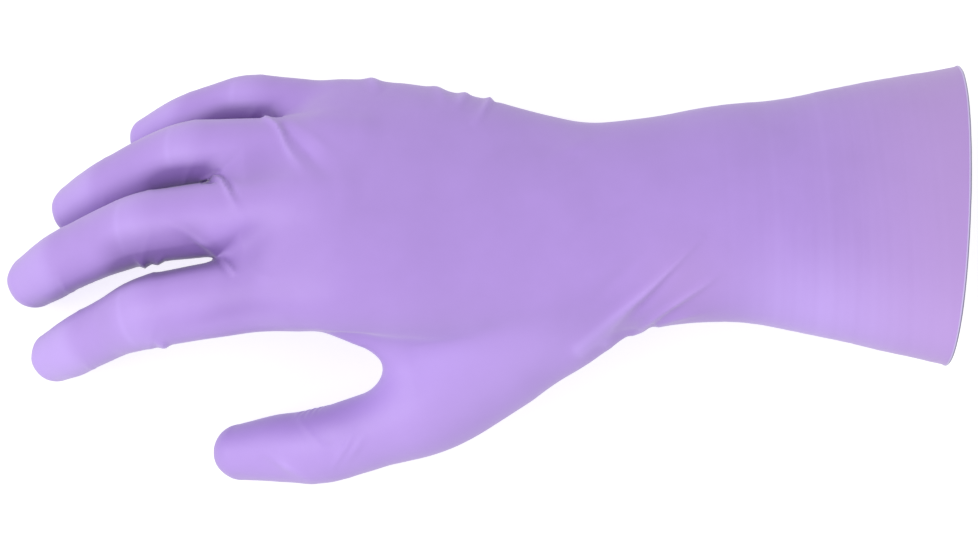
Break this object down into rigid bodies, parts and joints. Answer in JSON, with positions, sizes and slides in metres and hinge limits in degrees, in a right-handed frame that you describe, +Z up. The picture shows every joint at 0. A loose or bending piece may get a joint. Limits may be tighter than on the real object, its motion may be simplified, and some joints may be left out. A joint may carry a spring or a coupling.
{
  "type": "disposable nitrile glove",
  "caption": "Right-hand extended-cuff disposable glove of thin lavender nitrile film, holding a worn hand's relaxed shape, with flexing zones at the joints and a rolled cuff rim.",
  "frame": {"origin": "middle of the footprint, on the surface the glove lies on, palm down", "axes": "+X from the fingertips to the open cuff, +Y from the thumb side to the little-finger side, +Z up out of the back of the hand"},
  "size_m": [0.286, 0.1251, 0.0684],
  "materials": {
    "film": "satin, smooth thin film, slightly lighter where it is stretched",
    "cuff_film": "satin, thinner and slightly pinker towards the rim",
    "bead": "satin, rolled edge, greyer where the film is many layers thick"
  },
  "bodies": {
    "hand": {"hand_back": "film", "palm": "film", "knuckle_band": "film", "thumb_knuckle_band": "film"},
    "finger_base": {"finger_bases": "film", "index_middle_band": "film", "middle_middle_band": "film", "ring_middle_band": "film", "little_middle_band": "film"},
    "index_middle": {"index_middle": "film", "index_tip_band": "film"},
    "index_tip": {"index_tip": "film"},
    "middle_middle": {"middle_middle": "film", "middle_tip_band": "film"},
    "middle_tip": {"middle_tip": "film"},
    "ring_middle": {"ring_middle": "film", "ring_tip_band": "film"},
    "ring_tip": {"ring_tip": "film"},
    "little_middle": {"little_middle": "film", "little_tip_band": "film"},
    "little_tip": {"little_tip": "film"},
    "thumb_lower": {"thumb_lower": "film", "thumb_tip_band": "film"},
    "thumb_tip": {"thumb_tip": "film"},
    "cuff": {"cuff": "cuff_film", "cuff_bead": "bead", "wrist_band": "cuff_film"}
  },
  "joints": [
    {"name": "wrist_bend", "type": "hinge", "parent": "hand", "child": "cuff", "pos_m": [0.05235, 0.01375, 0.03612], "axis": [0, -0.9591, 0.2829], "range_deg": [-25, 25], "deforming": ["wrist_band"]},
    {"name": "knuckle_bend", "type": "hinge", "parent": "hand", "child": "finger_base", "pos_m": [-0.04275, 0.01855, 0.04652], "axis": [-0.2877, -0.9003, 0.3266], "range_deg": [-20, 25], "deforming": ["knuckle_band"]},
    {"name": "index_middle_bend", "type": "hinge", "parent": "finger_base", "child": "index_middle", "pos_m": [-0.09655, -0.01375, 0.03852], "axis": [0.0914, -0.9712, 0.2202], "range_deg": [-25, 30], "deforming": ["index_middle_band"]},
    {"name": "index_tip_bend", "type": "hinge", "parent": "index_middle", "child": "index_tip", "pos_m": [-0.11625, -0.01955, 0.02112], "axis": [0.0914, -0.9712, 0.2202], "range_deg": [-15, 25], "deforming": ["index_tip_band"]},
    {"name": "middle_middle_bend", "type": "hinge", "parent": "finger_base", "child": "middle_middle", "pos_m": [-0.09765, 0.01075, 0.04032], "axis": [0.002, -0.9412, 0.3377], "range_deg": [-25, 30], "deforming": ["middle_middle_band"]},
    {"name": "middle_tip_bend", "type": "hinge", "parent": "middle_middle", "child": "middle_tip", "pos_m": [-0.12325, 0.00395, 0.02152], "axis": [0.002, -0.9412, 0.3377], "range_deg": [-15, 25], "deforming": ["middle_tip_band"]},
    {"name": "ring_middle_bend", "type": "hinge", "parent": "finger_base", "child": "ring_middle", "pos_m": [-0.08485, 0.03305, 0.03812], "axis": [0.007, -0.9194, 0.3934], "range_deg": [-25, 30], "deforming": ["ring_middle_band"]},
    {"name": "ring_tip_bend", "type": "hinge", "parent": "ring_middle", "child": "ring_tip", "pos_m": [-0.11095, 0.02545, 0.02082], "axis": [0.007, -0.9194, 0.3934], "range_deg": [-15, 25], "deforming": ["ring_tip_band"]},
    {"name": "little_middle_bend", "type": "hinge", "parent": "finger_base", "child": "little_middle", "pos_m": [-0.06865, 0.05045, 0.02732], "axis": [-0.0464, -0.8962, 0.4412], "range_deg": [-25, 30], "deforming": ["little_middle_band"]},
    {"name": "little_tip_bend", "type": "hinge", "parent": "little_middle", "child": "little_tip", "pos_m": [-0.08765, 0.04725, 0.01882], "axis": [-0.0464, -0.8962, 0.4412], "range_deg": [-15, 25], "deforming": ["little_tip_band"]},
    {"name": "thumb_bend", "type": "hinge", "parent": "hand", "child": "thumb_lower", "pos_m": [-0.0237, -0.04408, 0.02673], "axis": [0.3924, -0.4348, -0.8105], "range_deg": [-20, 20], "deforming": ["thumb_knuckle_band"]},
    {"name": "thumb_tip_bend", "type": "hinge", "parent": "thumb_lower", "child": "thumb_tip", "pos_m": [-0.04675, -0.05125, 0.01942], "axis": [0.3924, -0.4348, -0.8105], "range_deg": [-20, 25], "deforming": ["thumb_tip_band"]}
  ]
}
